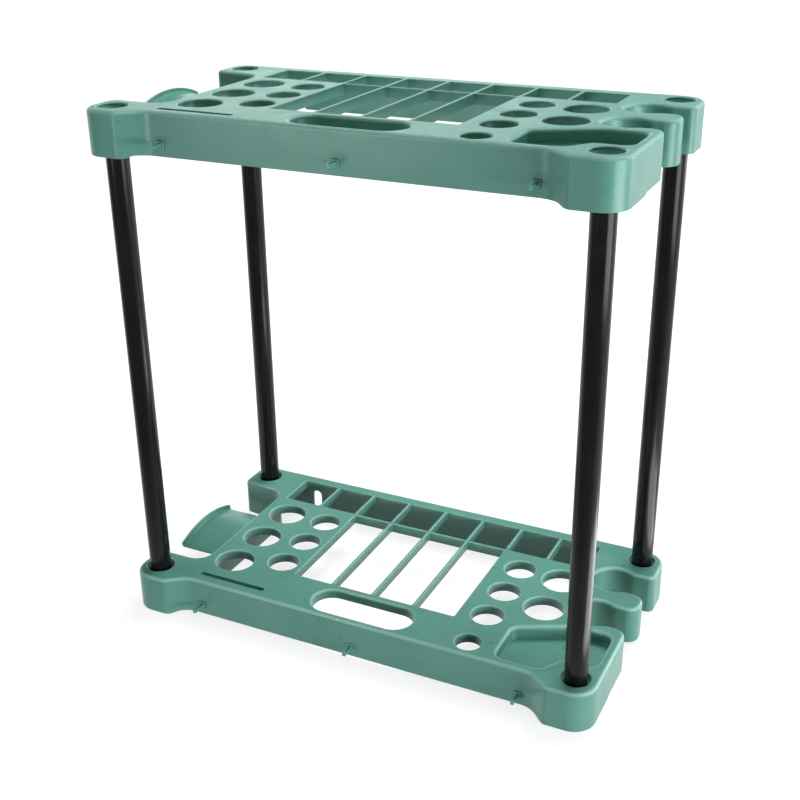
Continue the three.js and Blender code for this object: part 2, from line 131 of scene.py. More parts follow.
# A material's noise patterns on the object's own coordinates. Each has a size across in millimetres and a
# detail, and some a span of the noise and the two values that its ends become.
def addPatterns(tree, patterns):
    place = addNode(tree, "ShaderNodeTexCoord").outputs["Object"]
    made = {}
    for name, (size, detail, *spans) in patterns.items():
        made[name] = addNode(tree, "ShaderNodeTexNoise", None, {
            "Vector": place, "Scale": 1 / (size * mm), "Detail": detail, "Roughness": fineShare,
        }).outputs["Fac"]
        if spans:
            (start, end), (low, high) = spans
            made[name] = addNode(tree, "ShaderNodeMapRange", None, {
                "Value": made[name], "From Min": start, "From Max": end, "To Min": low, "To Max": high,
            }).outputs["Result"]
    return made


trayLook = {
    "body": "#5A9688",
    "cloud": "#659F91",
    # edge: the paler tone of a painted highlight along the rounded top edges
    "edge": "#8CBBAF",
    "patterns": {
        "cloud": (90, 2, noiseSpan, (0, 1)),
        "mottle": (6, 4, noiseSpan, (-0.06, 0.06)),
        "roughness": (24, 3, noiseSpan, (0.27, 0.35)),
        "wave": (34, 1),
        "grain": (0.9, 2),  # the real spark grain is about 0.2 mm, too fine to show, so it is drawn coarser
    },
    "waveDepth": 0.3,
    "grainDepth": 0.004,
    "ior": 1.49,
    "gloss": 0.5,
}


# Polypropylene, injection moulded in a fine-grained tool: a satin green with slow clouds of tone where the
# melt flowed, broad soft highlights, and a painted highlight that makes the rounded top edges a little
# paler.
def mouldedPolypropylene(values):
    material, tree = newMaterial("moulded polypropylene")
    patterns = addPatterns(tree, values["patterns"])
    tone = addNode(tree, "ShaderNodeMath", {"operation": "ADD", "use_clamp": True}, {
        0: patterns["cloud"], 1: patterns["mottle"],
    }).outputs[0]
    # A colour mix has its factor at place 0, its colours at 6 and 7, and its result at 2
    body = addNode(tree, "ShaderNodeMix", {"data_type": "RGBA"}, {
        0: tone, 6: linear(values["body"]), 7: linear(values["cloud"]),
    }).outputs[2]
    # The edge attribute mixes in the paler tone: a painted highlight along the rounded top edges.
    edgeHighlight = addNode(tree, "ShaderNodeAttribute", {"attribute_name": "edge"}).outputs["Fac"]
    colour = addNode(tree, "ShaderNodeMix", {"data_type": "RGBA"}, {
        0: edgeHighlight, 6: body, 7: linear(values["edge"]),
    }).outputs[2]
    wave = addNode(tree, "ShaderNodeBump", None, {
        "Height": patterns["wave"], "Distance": values["waveDepth"] * mm, "Strength": 1,
    }).outputs["Normal"]
    grain = addNode(tree, "ShaderNodeBump", None, {
        "Height": patterns["grain"], "Distance": values["grainDepth"] * mm, "Strength": 1, "Normal": wave,
    }).outputs["Normal"]
    shader = addNode(tree, "ShaderNodeBsdfPrincipled", None, {
        "Base Color": colour, "Roughness": patterns["roughness"], "IOR": values["ior"], "Normal": grain,
        "Specular IOR Level": values["gloss"],
    })
    addNode(tree, "ShaderNodeOutputMaterial", None, {"Surface": shader.outputs["BSDF"]})
    return material


postLook = {
    "body": "#0D0D0E",
    "dust": "#18181A",
    "patterns": {
        "dust": (40, 5, (0.45, 0.75), (0, 1)),
        "roughness": (10, 3, noiseSpan, (0.14, 0.2)),
        "peel": (2.2, 2),
    },
    "peelDepth": 0.012,
    "ior": 1.5,
    "gloss": 0.3,
}


# Steel tube, powder coated: a deep semi-gloss black with faint orange peel that softens the long highlight,
# and a trace of pale dust.
def powderCoatedSteel(values):
    material, tree = newMaterial("powder coated steel")
    patterns = addPatterns(tree, values["patterns"])
    colour = addNode(tree, "ShaderNodeMix", {"data_type": "RGBA"}, {
        0: patterns["dust"], 6: linear(values["body"]), 7: linear(values["dust"]),
    }).outputs[2]
    peel = addNode(tree, "ShaderNodeBump", None, {
        "Height": patterns["peel"], "Distance": values["peelDepth"] * mm, "Strength": 1,
    }).outputs["Normal"]
    shader = addNode(tree, "ShaderNodeBsdfPrincipled", None, {
        "Base Color": colour, "Roughness": patterns["roughness"], "IOR": values["ior"], "Normal": peel,
        "Specular IOR Level": values["gloss"],
    })
    addNode(tree, "ShaderNodeOutputMaterial", None, {"Surface": shader.outputs["BSDF"]})
    return material


green = mouldedPolypropylene(trayLook)
black = powderCoatedSteel(postLook)
print("materials made")


# Loops, sweeps and shells

sag = 0.02  # most that a chord may fall short of its arc
strip = 0.2  # flat border between a rounding and the face that it leads to


# Vectors of the same directions, one long.
def unit(vectors):
    return vectors / np.linalg.norm(vectors, axis=-1, keepdims=True)


# Steps that an arc needs: its turn over 2 acos(1 - sag / radius), and at least three.
def stepsFor(radius, turn):
    return max(3, int(np.ceil(abs(turn) / (2 * np.arccos(1 - min(sag / radius, 0.5))))))


# Points of an arc: centre + radius (cos a, sin a), for angles a from start to end.
def arc(x, y, radius, start, end):
    angles = np.linspace(start, end, stepsFor(radius, end - start) + 1)
    return np.column_stack([x + radius * np.cos(angles), y + radius * np.sin(angles)])


# An arc of one whole turn, without its last point, which is the first one again.
def circle(x, y, radius):
    return arc(x, y, radius, 0, 2 * np.pi)[:-1]


# A path through corners (x, y, radius), each turned into an arc that is tangent to both of its sides.
# The arc's centre lies radius / sin(h) along the corner's bisector, where h is half the corner's angle.
def rounded(corners):
    spots = np.array([corner[:2] for corner in corners], float)
    radii = [corner[2] if len(corner) > 2 else 0 for corner in corners]
    back = unit(np.roll(spots, 1, 0) - spots)
    ahead = unit(np.roll(spots, -1, 0) - spots)
    pieces = []
    for spot, radius, b, a in zip(spots, radii, back, ahead):
        if not radius:
            pieces.append(spot[None])
            continue
        half = np.arccos(np.clip(a @ b, -1, 1)) / 2
        centre = spot + unit(a + b) * radius / np.sin(half)
        start = spot + b * radius / np.tan(half) - centre
        turn = np.sign(a[0] * b[1] - a[1] * b[0]) * (np.pi - 2 * half)
        angles = np.arctan2(start[1], start[0]) + np.linspace(0, turn, stepsFor(radius, turn) + 1)
        pieces.append(centre + radius * np.column_stack([np.cos(angles), np.sin(angles)]))
    return np.concatenate(pieces)


# An anticlockwise rectangle with rounded corners.
def rectangle(left, front, right, back, radius=0):
    spots = ((left, front), (right, front), (right, back), (left, back))
    return rounded([(*spot, radius) for spot in spots])


# The same loop with its long sides divided, so that none is longer than stated.
def divided(loop, longest):
    ahead = np.roll(loop, -1, 0) - loop
    counts = np.maximum(1, np.ceil(np.linalg.norm(ahead, axis=1) / longest)).astype(int)
    first = np.repeat(np.cumsum(counts) - counts, counts)
    share = (np.arange(counts.sum()) - first) / np.repeat(counts, counts)
    start = np.repeat(np.arange(len(loop)), counts)
    return loop[start] + ahead[start] * share[:, None]


# What one millimetre outwards is at each point of an anticlockwise loop: with n1 and n2 the normals of its
# two sides, (n1 + n2) / (1 + n1 . n2).
def outward(loop):
    ahead = unit(np.roll(loop, -1, 0) - loop)
    after = np.column_stack([ahead[:, 1], -ahead[:, 0]])
    before = np.roll(after, 1, 0)
    return (before + after) / (1 + (before * after).sum(1, keepdims=True))


# A profile of (distance outwards, height) carried round a loop: rings of points, one for each profile point.
def swept(loop, profile):
    profile = np.asarray(profile, float)
    rings = np.empty((len(profile), len(loop), 3))
    rings[..., :2] = loop + outward(loop) * profile[:, 0, None, None]
    rings[..., 2] = profile[:, 1, None]
    return rings


# A shell collects rings of points and the faces between them. An edge value goes with each point, for the
# paler tone of a painted highlight along rounded top edges.
class Shell:
    def __init__(self):
        self.points, self.edges, self.faces, self.count = [], [], [], 0

    # Quads between neighbouring rings; gives the point numbers of the first and the last ring.
    def addRings(self, rings, edges=None, closed=False):
        rows, columns = rings.shape[:2]
        numbers = self.count + np.arange(rows * columns).reshape(rows, columns)
        self.count += rows * columns
        self.points.append(rings.reshape(-1, 3))
        edges = np.zeros(rows) if edges is None else edges
        self.edges.append(np.repeat(edges, columns))
        here, there = (numbers, np.roll(numbers, -1, 0)) if closed else (numbers[:-1], numbers[1:])
        quads = np.stack([here, np.roll(here, -1, 1), np.roll(there, -1, 1), there], -1)
        self.faces.extend(quads.reshape(-1, 4).tolist())
        return numbers[0], numbers[-1]

    # Triangles that fill the flat area inside the first ring and outside the others.
    def fill(self, rings, axes=(0, 1)):
        points = np.concatenate(self.points)
        numbers = np.concatenate(rings)
        loops = [points[ring][:, axes].tolist() for ring in rings]
        triangles = numbers[np.array(tessellate_polygon(loops))]
        self.faces.extend(triangles.tolist())

    # A mesh object in metres, with its faces outwards. It tells of edges that aren't closed.
    def build(self, name, material, transform=None):
        points = np.concatenate(self.points)
        if transform is not None:
            points = transform(points)
        mesh = bpy.data.meshes.new(name)
        mesh.from_pydata((points * mm).tolist(), [], self.faces)
        # Each point's edge value sets how much painted highlight it gets
        edgeHighlight = mesh.attributes.new("edge", "FLOAT", "POINT")
        edgeHighlight.data.foreach_set("value", np.concatenate(self.edges).astype(np.float32))
        mesh.materials.append(material)
        work = bmesh.new()
        work.from_mesh(mesh)
        bmesh.ops.recalc_face_normals(work, faces=work.faces)
        loose = sum(not edge.is_manifold for edge in work.edges)
        if work.calc_volume(signed=True) < 0:
            bmesh.ops.reverse_faces(work, faces=work.faces)
        work.to_mesh(mesh)
        work.free()
        if loose:
            print("open edges in", name, loose)
        return addObject(name, mesh)


# Straight blocks over loops, from one height to another.
def block(name, loops, low, high, material, transform=None):
    shell = Shell()
    for loop in loops:
        first, last = shell.addRings(swept(loop, [(0, low), (0, high)]))
        shell.fill([first])
        shell.fill([last])
    return shell.build(name, material, transform)


# Joins other pieces to a piece, or cuts them from it, and takes them away.
def combine(piece, steps):
    for operation, other in steps:
        change = piece.modifiers.new(operation, "BOOLEAN")
        change.operation = operation
        change.solver = "MANIFOLD"
        change.object = other
    graph = bpy.context.evaluated_depsgraph_get()
    made = bpy.data.meshes.new_from_object(piece.evaluated_get(graph))
    piece.modifiers.clear()
    piece.data = made
    for _, other in steps:
        bpy.data.objects.remove(other)
    return piece


# Smooth shading with corners past the sharp angle kept, and flat faces kept flat beside narrow roundings.
def smooth(piece, sharpAngle=38):
    piece.data.shade_smooth()
    piece.data.set_sharp_from_angle(angle=np.radians(sharpAngle))
    change = piece.modifiers.new("flat faces", "WEIGHTED_NORMAL")
    change.keep_sharp = True
    change.weight = 100
    return piece


# Trays: one moulding, drawn in its own frame with the middle of the four posts as its origin, and its feet
# at height zero

trayShape = {
    "postX": 265, "postY": 127.8,
    "left": -288, "right": 290.5, "back": 151.7, "front": -140.3, "bossFront": -158,
    "top": 48, "deck": 3, "wall": 2.8, "edge": 4, "footRound": 0.7,  # edge is the deck's rounding
    "rib": 2.2, "ribBottom": 36, "ribRound": 0.4,  # ribs, collars and curbs
    "bayWall": -223, "bayFront": -98, "bayBack": 96, "bayTaper": 4,  # the hanger's bay at the left
    "backCorner": 20, "rearRight": 27, "bayLip": 7, "bayFillet": 20, "bossBack": 14, "bossCorner": 26,
    "creaseX": 240.5, "crease": 9, "shoulderX": 218, "shoulder": 28,  # the S between boss and front
    "footX": (236.6, 228), "footY": (90.4, 81.8), "footDrop": 2.5,  # where the skirt's lower edge rises
    "sideLength": 5,  # most that a side of the outline measures, so that its lower edge can rise smoothly
    "keyholes": {
        "x": 248, "y": (-3.5, 71.5), "radius": 25.5, "mouth": 39.5, "lip": 15,
        "blockCorner": 14, "prong": 15, "backCorner": 8,
    },
    "roundHoles": {
        "places": [  # x, y and width
            *((-187, -82 + 63 * k, 46.6) for k in range(3)),
            *((-131, -60.4 + 53 * k, 37.6) for k in range(3)),
            *((138, -60.5 + 53 * k, 37.6) for k in range(3)),
            *((191.5, -20.5 + 63 * k, 46.6) for k in range(2)),
            (138, -117, 30),
        ],
        "rim": 2,
    },
    "handSlot": {"x": 3, "y": -109.6, "length": 126, "width": 45, "rim": 3.2},
    "sawSlit": {
        "left": -211, "right": -120, "y": -123.5, "width": 6.6, "rim": 0.5,
        "endShare": 0.98,  # rounding of its ends, as a share of half its width
    },
    "slotFields": {
        "pitch": 53, "divider": 3, "corner": 2, "rim": 1,
        "strip": 0.6,  # flat border of the curb's lower face
        "fields": ((8, 81.2, 135), (4, -79, 78)),  # count, front, back
    },
    "pocket": {
        "corners": [
            (172.5, -128.5, 11), (225, -128.5, 11), (242, -102, 11), (279.5, -102, 11),
            (279.5, -39.5, 11), (236, -39.5, 26), (172.5, -71, 11),
        ],
        "depth": 15, "floor": 2.6, "wall": 2.4, "rim": 4.2, "foot": 3, "underRound": 1,
        "rimStrip": 0.4, "footStrip": 0.6, "underStrip": 1.6,  # flat borders beside its roundings
    },
    "socket": {
        "mouth": 16, "mouthDepth": 7, "bore": 12.8, "outer": 18.2, "stop": 9, "stopHeights": (20, 23),
        "rim": 2.2, "mouthRound": 0.5, "coneRound": 1, "stopRound": 0.3, "boreRound": 0.8, "outerRound": 1,
    },
    "gussets": {
        "low": 4.7, "reach": 34,
        "bayEnd": 98.6, "pocketEnd": -103.2, "keyholeEnd": 92.6,  # in the walls that the inner arms meet
    },
    "deckRibs": {"left": -156.9, "right": 162.5},
    "hanger": {
        "y": 4, "span": 112, "radius": 140, "outer": -290.5, "thick": 2.6, "edge": 1,
        # the last value here is the depth of the lip's top band that gets the painted highlight
        "lipDrop": 6.7, "lipHeight": 5.7, "lipThick": 2.6, "fillet": 4.4, "highlightBand": 1.5,
        "endRound": 0.8, "endSteps": 5, "steps": 40,
    },
    "notch": {"x": 202, "width": 13, "top": 27},
    "cutPast": 2,  # how far a cutter reaches past the skirt
}

# The hooks' sizes come here, because the trays' skirts have slots for them
hookShape = {
    "places": (-198, 4, 206), "height": 15.4,
    "reach": 19, "stem": 3.4, "width": 3.6, "tipHeight": 5, "tip": 2.8, "bend": 2, "soft": 0.8, "round": 1.2,
    "plate": 1.6, "plateWidth": 8.8, "plateHeight": 8.4, "plateRound": 0.7,
    "gap": 0.3, "barb": 1.2, "barbLength": 4,  # gap all round the stem in its slot, and before the skirt
}


# The bite of a keyhole: a lip arc, the round part and the other lip arc, each tangent to the next.
def keyholeBite(y):
    k = trayShape["keyholes"]
    lipY = k["mouth"] / 2 + k["lip"]
    lipX = k["x"] + np.sqrt((k["radius"] + k["lip"]) ** 2 - lipY ** 2)
    lean = np.arctan2(lipY, lipX - k["x"])
    return np.concatenate([
        arc(lipX, y - lipY, k["lip"], np.pi / 2, np.pi - lean),
        arc(k["x"], y, k["radius"], 2 * np.pi - lean, lean)[1:-1],
        arc(lipX, y + lipY, k["lip"], np.pi + lean, 3 * np.pi / 2),
    ])


# The tray seen from above, anticlockwise from its back left corner: the hanger's bay, the front with a boss
# at each end, and the right side with its two keyholes.
def trayOutline():
    t, k = trayShape, trayShape["keyholes"]
    half = k["mouth"] / 2
    front, back = k["y"]
    return rounded([
        (t["left"], t["back"], t["backCorner"]),
        (t["left"], t["bayBack"] + t["bayTaper"], t["bayLip"]),
        (t["bayWall"], t["bayBack"] - t["bayTaper"], t["bayFillet"]),
        (t["bayWall"], t["bayFront"], t["bayFillet"]),
        (t["left"], t["bayFront"], t["bossBack"]),
        (t["left"], t["bossFront"], t["bossCorner"]),
        (-t["creaseX"], t["bossFront"], t["crease"]),
        (-t["shoulderX"], t["front"], t["shoulder"]),
        (t["shoulderX"], t["front"], t["shoulder"]),
        (t["creaseX"], t["bossFront"], t["crease"]),
        (t["right"], t["bossFront"], t["bossCorner"]),
        (t["right"], front - half, k["blockCorner"]),
        *keyholeBite(front),
        (t["right"], front + half, k["prong"]),
        (t["right"], back - half, k["prong"]),
        *keyholeBite(back),
        (t["right"], back + half, k["backCorner"]),
        (t["right"], t["back"], t["rearRight"]),
    ])


# How far the skirt's lower edge stands above the feet: the drop, times a smooth ramp from the corner
# bosses inwards, the larger of the one along x, in front only, and the one along y.
def skirtLift(points):
    t = trayShape
    alongX, alongY = [
        np.clip((start - np.abs(points[..., axis])) / (start - end), 0, 1)
        for axis, (start, end) in ((0, t["footX"]), (1, t["footY"]))
    ]
    ramp = np.maximum(alongX * (points[..., 1] < 0), alongY)
    return t["footDrop"] * ramp * ramp * (3 - 2 * ramp)


# Values of the painted highlight along a profile: sin 2a at the angle a of the rounded top, so one in its
# middle and none at its ends or elsewhere.
def edgeHighlightValues(profile, top, reach):
    cosine = np.clip(1 - (top - profile[:, 1]) / reach, 0, 1)
    return 2 * cosine * np.sqrt(1 - cosine ** 2)


# The moulding as one closed skin: a profile is swept round each of its loops, from the deck to its
# underside, and two flat faces fill the deck and the underside between them.
def trayShell():
    t = trayShape
    top, under, low = t["top"], t["top"] - t["deck"], t["ribBottom"]
    rib, ribRound = t["rib"], t["ribRound"]
    shell = Shell()
    deckRings, underRings = [], []

    # edge is how far down a rounded top reaches, for the painted highlight along it
    def sweep(loop, corners, edge=0):
        profile = rounded(corners)
        return shell.addRings(swept(loop, profile), edgeHighlightValues(profile, top, edge) if edge else None)

    # Skirt: over the deck's edge, down outside, and up inside; only its lower edge is lifted
    loop = divided(trayOutline(), t["sideLength"])
    profile = rounded([
        (-t["edge"] - strip, top), (0, top, t["edge"]),
        (0, 0, t["footRound"]), (-t["wall"], 0, t["footRound"]), (-t["wall"], under),
    ])
    rings = swept(loop, profile)
    rings[..., 2] += skirtLift(rings) * (rings[..., 2] < low / 2)
    first, last = shell.addRings(rings, edgeHighlightValues(profile, top, t["edge"]))
    deckRings.append(first)
    underRings.append(last)

    # Round holes, the hand slot and the saw slit, each with a collar under the deck
    holes, h, s = t["roundHoles"], t["handSlot"], t["sawSlit"]
    collared = [(circle(x, y, width / 2), holes["rim"]) for x, y, width in holes["places"]]
    straight = (h["length"] - h["width"]) / 2
    handLoop = np.concatenate([
        arc(h["x"] + straight, h["y"], h["width"] / 2, -np.pi / 2, np.pi / 2),
        arc(h["x"] - straight, h["y"], h["width"] / 2, np.pi / 2, 3 * np.pi / 2),
    ])
    half = s["width"] / 2
    slitLoop = rectangle(s["left"], s["y"] - half, s["right"], s["y"] + half, half * s["endShare"])
    for loop, rim in [*collared, (handLoop, h["rim"]), (slitLoop, s["rim"])]:
        first, last = sweep(loop, [
            (rim + strip, top), (0, top, rim), (0, low, ribRound), (rib, low, ribRound), (rib, under),
        ], rim)
        deckRings.append(first)
        underRings.append(last)

    # Slot fields: the slots share one curb, wide at the back and narrow in front, whose lower face is flat
    s = t["slotFields"]
    (wideCount, wideFront, wideBack), (count, front, _) = s["fields"]
    wide = wideCount * s["pitch"] / 2 - s["divider"] / 2 + rib
    narrow = count * s["pitch"] / 2 - s["divider"] / 2 + rib
    curb = rounded([
        (-narrow, front - rib), (narrow, front - rib), (narrow, wideFront - rib),
        (wide, wideFront - rib), (wide, wideBack + rib), (-wide, wideBack + rib),
        (-wide, wideFront - rib), (-narrow, wideFront - rib),
    ])
    lowRing, last = sweep(curb, [(-s["strip"], low), (0, low, ribRound), (0, under)])
    underRings.append(last)
    lowRings = [lowRing]
    for count, front, back in s["fields"]:
        half = count * s["pitch"] / 2
        for k in range(count):
            left = -half + k * s["pitch"] + s["divider"] / 2
            loop = rectangle(left, front, left + s["pitch"] - s["divider"], back, s["corner"])
            first, last = sweep(loop, [
                (s["rim"] + strip, top), (0, top, s["rim"]), (0, low, ribRound), (s["strip"], low),
            ], s["rim"])
            deckRings.append(first)
            lowRings.append(last)
    shell.fill(lowRings)

    # Pocket: a rounded pan, and its outside under the deck
    p = t["pocket"]
    loop = rounded(p["corners"])
    base = top - p["depth"]
    first, last = sweep(loop, [
        (p["rim"] + p["rimStrip"], top), (0, top, p["rim"]), (0, base, p["foot"]),
        (-p["foot"] - p["footStrip"], base),
    ], p["rim"])
    deckRings.append(first)
    shell.fill([last])
    first, last = sweep(loop, [
        (p["wall"] - p["underStrip"], base - p["floor"]), (p["wall"], base - p["floor"], p["underRound"]),
        (p["wall"], under),
    ])
    shell.fill([first])
    underRings.append(last)

    # Post sockets: mouth, cone, bore, stop ring, lower bore, foot ring and outside
    c = t["socket"]
    stopLow, stopHigh = c["stopHeights"]
    heights = [
        (c["mouth"] + c["rim"] + strip, top), (c["mouth"], top, c["rim"]),
        (c["mouth"], under, c["mouthRound"]), (c["bore"], top - c["mouthDepth"], c["coneRound"]),
        (c["bore"], stopHigh),
        (c["stop"], stopHigh, c["stopRound"]), (c["stop"], stopLow, c["stopRound"]), (c["bore"], stopLow),
        (c["bore"], 0, c["boreRound"]), (c["outer"], 0, c["outerRound"]), (c["outer"], under),
    ]
    corners = [(radius - c["bore"], *rest) for radius, *rest in heights]
    for x in (-t["postX"], t["postX"]):
        for y in (-t["postY"], t["postY"]):
            first, last = sweep(circle(x, y, c["bore"]), corners, c["rim"])
            deckRings.append(first)
            underRings.append(last)

    shell.fill(deckRings)
    shell.fill(underRings)
    return shell


# The saddle's section, as (x, height over its underside), is bent over an arch about a low centre:
# y = y0 + r sin a, z = z0 + r cos a. The section shrinks at both ends, which rounds them.
def hangerPiece():
    t, h = trayShape, trayShape["hanger"]
    root, outer = t["bayWall"] + t["wall"] / 2, h["outer"]
    lipTop = h["thick"] + h["lipHeight"]
    section = rounded([
        (outer, 0, h["edge"]), (root, 0), (root, h["thick"]),
        (outer + h["lipThick"], h["thick"], h["fillet"]), (outer + h["lipThick"], lipTop, h["edge"]),
        (outer, lipTop, h["edge"]),
    ])
    lean = np.arcsin(h["span"] / 2 / h["radius"])
    turn = np.linspace(0, np.pi / 2, h["endSteps"])
    ending = lean - h["endRound"] / h["radius"] * (1 - np.cos(turn))
    inset = h["endRound"] * (1 - np.sin(turn))
    middle = np.linspace(ending[-1], -ending[-1], h["steps"])[1:-1]
    angles = np.concatenate([ending, middle, -ending[::-1]])
    insets = np.concatenate([inset, np.zeros(len(middle)), inset[::-1]])
    flat = section - outward(section) * insets[:, None, None]
    radius = h["radius"] - lipTop + flat[..., 1]
    centre = t["top"] - h["lipDrop"] - h["radius"]
    rings = np.stack([
        flat[..., 0],
        h["y"] + radius * np.sin(angles)[:, None],
        centre + radius * np.cos(angles)[:, None],
    ], -1)
    shell = Shell()
    first, last = shell.addRings(rings)
    # The top band of the lip gets the paler painted highlight
    edgeHighlight = np.clip((flat[..., 1] - lipTop + h["highlightBand"]) / h["highlightBand"], 0, 1)
    shell.edges = [edgeHighlight.ravel()]
    shell.fill([first], (0, 2))
    shell.fill([last], (0, 2))
    return shell.build("hanger", green)


# Crossed ribs at each socket. Each arm starts inside the socket's wall, and ends inside the wall that it
# meets or free at its reach.
def gussetLoops():
    t, g, c = trayShape, trayShape["gussets"], trayShape["socket"]
    half, inWall = t["rib"] / 2, t["wall"] / 2
    hole = (c["outer"] + c["mouth"]) / 2
    leftSide = (t["left"] + inWall, -t["postX"] + g["reach"])
    rightSide = (t["postX"] - g["reach"], t["right"] - inWall)
    loops = []
    for sideX, sideY, (left, right), front, back in (
        (-1, -1, leftSide, t["bossFront"] + inWall, t["bayFront"] - inWall),
        (-1, 1, leftSide, g["bayEnd"], t["back"] - inWall),
        (1, -1, rightSide, t["bossFront"] + inWall, g["pocketEnd"]),
        (1, 1, rightSide, g["keyholeEnd"], t["back"] - inWall),
    ):
        x, y = sideX * t["postX"], sideY * t["postY"]
        loops += [
            rectangle(left, y - half, x - hole, y + half), rectangle(x + hole, y - half, right, y + half),
            rectangle(x - half, front, x + half, y - hole), rectangle(x - half, y + hole, x + half, back),
        ]
    return loops


# Long ribs under the deck: the left one from the saw slit's collar and the right one from the skirt, back to
# the curb of the wide slots.
def deckRibLoops():
    t, slit = trayShape, trayShape["sawSlit"]
    half = t["rib"] / 2
    back = t["slotFields"]["fields"][0][1] - half
    starts = {"left": slit["y"] + slit["width"] / 2 + half, "right": t["front"] + t["wall"] / 2}
    return [
        rectangle(t["deckRibs"][side] - half, front, t["deckRibs"][side] + half, back)
        for side, front in starts.items()
    ]


def makeTray():
    t, n, h = trayShape, trayShape["notch"], hookShape
    piece = trayShell().build("tray", green)
    inDeck = t["top"] - t["deck"] / 2
    ribs = block("ribs", gussetLoops(), t["gussets"]["low"], inDeck, green)
    deckRibs = block("deckRibs", deckRibLoops(), t["ribBottom"], inDeck, green)

    # Cutters for the skirt are drawn in x and height, and stand up along y
    def upright(points):
        return points[:, [0, 2, 1]]

    radius, past = n["width"] / 2, t["cutPast"]
    arches = [
        np.concatenate([
            [(x + radius, -past)], arc(x, n["top"] - radius, radius, 0, np.pi), [(x - radius, -past)],
        ])
        for x in (-n["x"], n["x"])
    ]
    notches = block("notches", arches, t["back"] - t["wall"] - past, t["back"] + past, green, upright)
    acrossX, acrossZ = h["width"] / 2 + h["gap"], h["stem"] / 2 + h["gap"]
    slots = [
        rectangle(x - acrossX, h["height"] - acrossZ, x + acrossX, h["height"] + acrossZ)
        for x in h["places"]
    ]
    hookSlots = block("hookSlots", slots, t["front"] - past, t["front"] + t["wall"] + past, green, upright)
    return combine(piece, [
        ("UNION", ribs), ("UNION", deckRibs), ("UNION", hangerPiece()),
        ("DIFFERENCE", notches), ("DIFFERENCE", hookSlots),
    ])


# Middle of each post in the part's frame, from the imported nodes, and how far that frame's origin lies from
# the trays' own along y
postMiddles = {
    name: (np.array(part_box(name)[0]) + np.array(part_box(name)[1])) / 2 / mm
    for name in ("post_front_left", "post_front_right", "post_back_left", "post_back_right")
}
depthShift = np.mean([middle[1] for middle in postMiddles.values()])

tray = makeTray()
for level, top in deckHeights.items():
    piece = addObject(f"{level}_tray_moulding", tray.data.copy())
    piece.data.transform(Matrix.Translation((0, depthShift * mm, (top - trayShape["top"]) * mm)))
    smooth(piece)
    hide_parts(f"{level}_tray")
    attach(piece, f"{level}_half")
print("trays made:", len(tray.data.polygons), "faces each")
bpy.data.objects.remove(tray)


# Posts: plain tube with slightly rolled ends

tube = {"radius": 12.5, "wall": 1.2, "end": 0.4}


# A section of the tube's wall carried round a circle.
def makePost(name, values):
    low, high = (corner.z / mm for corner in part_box(name))
    x, y, _ = postMiddles[name]
    wall, end = values["wall"], values["end"]
    profile = rounded([(0, low, end), (0, high, end), (-wall, high, end), (-wall, low, end)])
    shell = Shell()
    shell.addRings(swept(circle(x, y, values["radius"]), profile), closed=True)
    piece = smooth(shell.build(name + "_tube", black))
    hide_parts(name)
    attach(piece, "posts")


for name in postMiddles:
    makePost(name, tube)
print("posts made")


# Hooks: a flat J with soft edges and a barbed shank through the skirt, on a small shoulder plate

# Outlines are (reach from the skirt, height), and their thickness is along x. The profile is drawn in at
# both faces by an arc, which softens the edges.
def slab(name, corners, width, soft, transform):
    half = width / 2
    profile = rounded([(-soft - strip, -half), (0, -half, soft), (0, half, soft), (-soft - strip, half)])
    shell = Shell()
    first, last = shell.addRings(swept(rounded(corners), profile))
    shell.fill([first])
    shell.fill([last])
    return shell.build(name, green, transform)


def makeHook(level, side, x, top):
    h, wall = hookShape, trayShape["wall"]
    half, plateHalf = h["stem"] / 2, h["plateHeight"] / 2
    plateBack, plateFront = -h["gap"], -h["gap"] - h["plate"]
    tipBack = -h["reach"] + h["tip"]
    inside, end = wall + h["gap"], wall + h["gap"] + h["barbLength"]
    stem = [
        (end, half), (tipBack, half, h["bend"]), (tipBack, h["tipHeight"], h["round"]),
        (-h["reach"], h["tipHeight"], h["round"]), (-h["reach"], -half, h["bend"]),
        (inside, -half), (inside, -half - h["barb"]), (end, 0),
    ]
    plate = [
        (plateBack, plateHalf), (plateFront, plateHalf, h["round"]),
        (plateFront, -plateHalf, h["round"]), (plateBack, -plateHalf),
    ]

    def inPlace(points):
        height = top - trayShape["top"] + h["height"]
        front = trayShape["front"] + depthShift
        return np.column_stack([points[:, 2] + x, points[:, 0] + front, points[:, 1] + height])

    piece = slab(f"{level}_hook_{side}_moulding", stem, h["width"], h["soft"], inPlace)
    shoulder = slab("shoulder", plate, h["plateWidth"], h["plateRound"], inPlace)
    smooth(combine(piece, [("UNION", shoulder)]))
    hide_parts(f"{level}_hook_{side}")
    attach(piece, f"{level}_half")


for level, top in deckHeights.items():
    for side, x in zip(("left", "middle", "right"), hookShape["places"]):
        makeHook(level, side, x, top)
print("hooks made")


# Studio: a pale floor, a pale room and soft lamps

